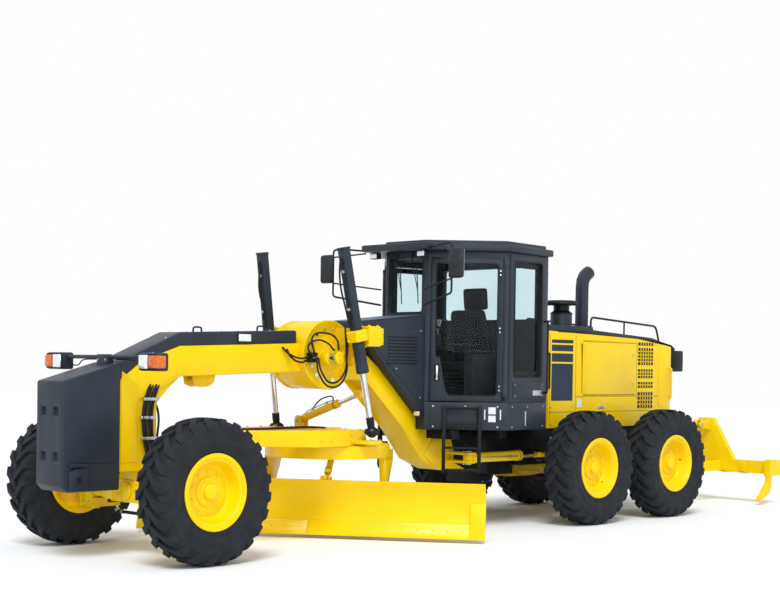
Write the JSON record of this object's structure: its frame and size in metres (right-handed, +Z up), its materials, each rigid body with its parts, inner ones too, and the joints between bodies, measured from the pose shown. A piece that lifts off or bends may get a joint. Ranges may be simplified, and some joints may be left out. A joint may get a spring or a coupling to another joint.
{
  "type": "motor grader",
  "caption": "Articulated motor grader with leaning front wheels, tandem rear wheels, cab, swivelling blade on a drawbar and a rear ripper",
  "frame": {"origin": "middle of the machine's bounding box, on the ground under the tyres", "axes": "+X forward along the machine, +Y to its left, +Z up"},
  "size_m": [10.784, 3.0917, 3.15],
  "materials": {
    "yellow": "gloss",
    "slate": "satin",
    "black": "matt",
    "rubber": "moulded",
    "chrome": "polished",
    "cloth": "woven"
  },
  "bodies": {
    "rear_body": {"rear_frame": "yellow", "rear_axle": "yellow", "engine": "black", "hood": "yellow", "hood_top": "slate", "exhaust_stack": "black"},
    "front_body": {"front_frame": "yellow", "beam_cover": "slate", "counterweight": "slate", "headlamps": "black", "lift_saddle": "yellow", "cab": "slate", "cab_roof": "slate", "cab_base": "slate", "cowl": "slate", "seat": "cloth", "front_axle": "yellow"},
    "engine_door_left": {"engine_door_left": "yellow"},
    "engine_door_right": {"engine_door_right": "yellow"},
    "ripper": {"ripper": "yellow"},
    "ripper_barrel": {"ripper_barrel": "yellow"},
    "ripper_rod": {"ripper_rod": "chrome"},
    "door_left": {"door_left": "slate"},
    "door_right": {"door_right": "slate"},
    "lean_bar": {"lean_bar": "yellow"},
    "tie_rod_end": {"tie_rod_end": "black"},
    "tie_rod": {"tie_rod": "slate"},
    "drawbar_ball": {"drawbar_ball": "black"},
    "drawbar": {"drawbar": "yellow"},
    "circle": {"circle": "yellow"},
    "blade_carrier": {"blade_carrier": "yellow"},
    "moldboard": {"moldboard": "yellow"},
    "swing_barrel": {"swing_barrel": "yellow"},
    "swing_rod": {"swing_rod": "chrome"},
    "tip_barrel": {"tip_barrel": "yellow"},
    "tip_rod": {"tip_rod": "chrome"},
    "artic_barrel_left": {"artic_barrel_left": "yellow"},
    "artic_rod_left": {"artic_rod_left": "chrome"},
    "lift_barrel_left": {"lift_barrel_left": "slate"},
    "lift_rod_left": {"lift_rod_left": "chrome"},
    "lean_left": {"lean_housing_left": "yellow"},
    "steer_left": {"knuckle_left": "yellow"},
    "artic_barrel_right": {"artic_barrel_right": "yellow"},
    "artic_rod_right": {"artic_rod_right": "chrome"},
    "lift_barrel_right": {"lift_barrel_right": "slate"},
    "lift_rod_right": {"lift_rod_right": "chrome"},
    "lean_right": {"lean_housing_right": "yellow"},
    "steer_right": {"knuckle_right": "yellow"},
    "front_left": {"front_left_tyre": "rubber", "front_left_wheel": "yellow"},
    "front_right": {"front_right_tyre": "rubber", "front_right_wheel": "yellow"},
    "rear_left_1": {"rear_left_1_tyre": "rubber", "rear_left_1_wheel": "yellow"},
    "rear_left_2": {"rear_left_2_tyre": "rubber", "rear_left_2_wheel": "yellow"},
    "rear_right_1": {"rear_right_1_tyre": "rubber", "rear_right_1_wheel": "yellow"},
    "rear_right_2": {"rear_right_2_tyre": "rubber", "rear_right_2_wheel": "yellow"}
  },
  "joints": [
    {"name": "articulation", "type": "hinge", "parent": "rear_body", "child": "front_body", "pos_m": [-0.392, 0, 0.775], "axis": [0, 0, 1], "range_deg": [-25, 25]},
    {"name": "artic_barrel_left_pin", "type": "hinge", "parent": "front_body", "child": "artic_barrel_left", "pos_m": [0.318, 0.45, 0.775], "axis": [0, 0, 1], "range_deg": [-12, 12]},
    {"name": "artic_rod_left_slide", "type": "slide", "parent": "artic_barrel_left", "child": "artic_rod_left", "axis": [1, 0, 0], "range_m": [-0.22, 0.22]},
    {"name": "artic_barrel_right_pin", "type": "hinge", "parent": "front_body", "child": "artic_barrel_right", "pos_m": [0.318, -0.45, 0.775], "axis": [0, 0, 1], "range_deg": [-12, 12]},
    {"name": "artic_rod_right_slide", "type": "slide", "parent": "artic_barrel_right", "child": "artic_rod_right", "axis": [-1, 0, 0], "range_m": [-0.22, 0.22]},
    {"name": "lean_left", "type": "hinge", "parent": "front_body", "child": "lean_left", "pos_m": [4.458, 0.64, 0.56], "axis": [1, 0, 0], "range_deg": [-18, 18]},
    {"name": "lean_right", "type": "hinge", "parent": "front_body", "child": "lean_right", "pos_m": [4.458, -0.64, 0.56], "axis": [1, 0, 0], "range_deg": [-18, 18]},
    {"name": "steer_left", "type": "hinge", "parent": "lean_left", "child": "steer_left", "pos_m": [4.458, 0.64, 0.56], "axis": [0, 0, 1], "range_deg": [-45, 45]},
    {"name": "steer_right", "type": "hinge", "parent": "lean_right", "child": "steer_right", "pos_m": [4.458, -0.64, 0.56], "axis": [0, 0, 1], "range_deg": [-45, 45]},
    {"name": "lean_bar_pin", "type": "hinge", "parent": "lean_left", "child": "lean_bar", "pos_m": [4.333, 0.64, 0.69], "axis": [1, 0, 0], "range_deg": [-18.5, 18.5]},
    {"name": "tie_rod_end_pin", "type": "hinge", "parent": "steer_left", "child": "tie_rod_end", "pos_m": [4.208, 0.64, 0.367], "axis": [0, 0, 1], "range_deg": [-46, 46]},
    {"name": "tie_rod_pin", "type": "hinge", "parent": "tie_rod_end", "child": "tie_rod", "pos_m": [4.208, 0.64, 0.332], "axis": [1, 0, 0], "range_deg": [-18.5, 18.5]},
    {"name": "front_left_spin", "type": "hinge", "parent": "steer_left", "child": "front_left", "pos_m": [4.458, 1.035, 0.65], "axis": [0, 1, 0], "continuous": true},
    {"name": "front_right_spin", "type": "hinge", "parent": "steer_right", "child": "front_right", "pos_m": [4.458, -1.035, 0.65], "axis": [0, 1, 0], "continuous": true},
    {"name": "rear_left_1_spin", "type": "hinge", "parent": "rear_body", "child": "rear_left_1", "pos_m": [-1.113, 1.035, 0.65], "axis": [0, 1, 0], "continuous": true},
    {"name": "rear_left_2_spin", "type": "hinge", "parent": "rear_body", "child": "rear_left_2", "pos_m": [-2.643, 1.035, 0.65], "axis": [0, 1, 0], "continuous": true},
    {"name": "rear_right_1_spin", "type": "hinge", "parent": "rear_body", "child": "rear_right_1", "pos_m": [-1.113, -1.035, 0.65], "axis": [0, 1, 0], "continuous": true},
    {"name": "rear_right_2_spin", "type": "hinge", "parent": "rear_body", "child": "rear_right_2", "pos_m": [-2.643, -1.035, 0.65], "axis": [0, 1, 0], "continuous": true},
    {"name": "drawbar_swing", "type": "hinge", "parent": "front_body", "child": "drawbar_ball", "pos_m": [4.228, 0, 0.85], "axis": [0, 0, 1], "range_deg": [-6.5, 6.5]},
    {"name": "drawbar_lift", "type": "hinge", "parent": "drawbar_ball", "child": "drawbar", "pos_m": [4.228, 0, 0.85], "axis": [0, 1, 0], "range_deg": [-12, 9.5]},
    {"name": "lift_barrel_left_pin", "type": "hinge", "parent": "front_body", "child": "lift_barrel_left", "pos_m": [2.27017, 0.66965, 2.07], "axis": [1, 0, 0], "range_deg": [-18, 18]},
    {"name": "lift_rod_left_slide", "type": "slide", "parent": "lift_barrel_left", "child": "lift_rod_left", "axis": [0.1762, -0.0577, 0.9827], "range_m": [-0.46, 0.39]},
    {"name": "lift_barrel_right_pin", "type": "hinge", "parent": "front_body", "child": "lift_barrel_right", "pos_m": [2.27017, -0.66965, 2.07], "axis": [1, 0, 0], "range_deg": [-18, 18]},
    {"name": "lift_rod_right_slide", "type": "slide", "parent": "lift_barrel_right", "child": "lift_rod_right", "axis": [0.1762, 0.0577, 0.9827], "range_m": [-0.46, 0.39]},
    {"name": "circle_turn", "type": "hinge", "parent": "drawbar", "child": "circle", "pos_m": [2.028, 0, 0.895], "axis": [0, 0, 1], "continuous": true},
    {"name": "blade_tip", "type": "hinge", "parent": "circle", "child": "blade_carrier", "pos_m": [2.07751, 0.0339, 0.18], "axis": [-0.565, 0.8251, 0], "range_deg": [-5, 30]},
    {"name": "blade_shift", "type": "slide", "parent": "blade_carrier", "child": "moldboard", "axis": [-0.565, 0.8251, 0], "range_m": [-0.34, 0.66]},
    {"name": "tip_barrel_pin", "type": "hinge", "parent": "circle", "child": "tip_barrel", "pos_m": [1.78047, -0.16949, 0.86], "axis": [-0.565, 0.8251, 0], "range_deg": [-10, 3]},
    {"name": "tip_rod_slide", "type": "slide", "parent": "tip_barrel", "child": "tip_rod", "axis": [0.6523, 0.4466, -0.6124], "range_m": [-0.04, 0.2]},
    {"name": "swing_barrel_pin", "type": "hinge", "parent": "drawbar", "child": "swing_barrel", "pos_m": [1.858, -0.6, 1.19], "axis": [1, 0, 0], "range_deg": [-26, 31]},
    {"name": "swing_rod_slide", "type": "slide", "parent": "swing_barrel", "child": "swing_rod", "axis": [0, 0.9518, 0.3067], "range_m": [-0.26, 0.26]},
    {"name": "ripper_lift", "type": "hinge", "parent": "rear_body", "child": "ripper", "pos_m": [-3.632, 0, 0.48], "axis": [0, 1, 0], "range_deg": [-14, 20]},
    {"name": "ripper_barrel_pin", "type": "hinge", "parent": "rear_body", "child": "ripper_barrel", "pos_m": [-3.632, 0, 1.08], "axis": [0, 1, 0], "range_deg": [-15, 21]},
    {"name": "ripper_rod_slide", "type": "slide", "parent": "ripper_barrel", "child": "ripper_rod", "axis": [0.9995, 0, 0.0305], "range_m": [-0.16, 0.22]},
    {"name": "door_left_hinge", "type": "hinge", "parent": "front_body", "child": "door_left", "pos_m": [0.30439, 0.92226, 2.1], "axis": [0, 0, 1], "range_deg": [0, 85]},
    {"name": "door_right_hinge", "type": "hinge", "parent": "front_body", "child": "door_right", "pos_m": [0.30439, -0.92226, 2.1], "axis": [0, 0, -1], "range_deg": [0, 85]},
    {"name": "engine_door_left_hinge", "type": "hinge", "parent": "rear_body", "child": "engine_door_left", "pos_m": [-1.58, 0.57, 1.78], "axis": [0, 0, -1], "range_deg": [0, 80]},
    {"name": "engine_door_right_hinge", "type": "hinge", "parent": "rear_body", "child": "engine_door_right", "pos_m": [-1.58, -0.57, 1.78], "axis": [0, 0, 1], "range_deg": [0, 80]}
  ],
  "couplings": [
    {"joint": "artic_barrel_left_pin", "follows": "articulation", "ratio": -0.43},
    {"joint": "artic_rod_left_slide", "follows": "articulation", "m_per_rad": 0.446},
    {"joint": "artic_barrel_right_pin", "follows": "articulation", "ratio": -0.43},
    {"joint": "artic_rod_right_slide", "follows": "articulation", "m_per_rad": 0.446},
    {"joint": "lean_right", "follows": "lean_left", "ratio": 1},
    {"joint": "steer_right", "follows": "steer_left", "ratio": 1},
    {"joint": "lean_bar_pin", "follows": "lean_left", "ratio": -1},
    {"joint": "tie_rod_end_pin", "follows": "steer_left", "ratio": -1},
    {"joint": "tie_rod_pin", "follows": "lean_left", "ratio": -1},
    {"joint": "lift_barrel_left_pin", "follows": "drawbar_swing", "ratio": -2.3},
    {"joint": "lift_rod_left_slide", "follows": "drawbar_lift", "m_per_rad": 2.12},
    {"joint": "lift_barrel_right_pin", "follows": "drawbar_swing", "ratio": -2.3},
    {"joint": "lift_rod_right_slide", "follows": "drawbar_lift", "m_per_rad": 2.12},
    {"joint": "tip_barrel_pin", "follows": "blade_tip", "ratio": -0.3},
    {"joint": "tip_rod_slide", "follows": "blade_tip", "m_per_rad": 0.372},
    {"joint": "swing_barrel_pin", "follows": "drawbar_lift", "ratio": -2.35},
    {"joint": "swing_rod_slide", "follows": "drawbar_swing", "m_per_rad": 2.2},
    {"joint": "ripper_barrel_pin", "follows": "ripper_lift", "ratio": 1.02},
    {"joint": "ripper_rod_slide", "follows": "ripper_lift", "m_per_rad": 0.59}
  ]
}
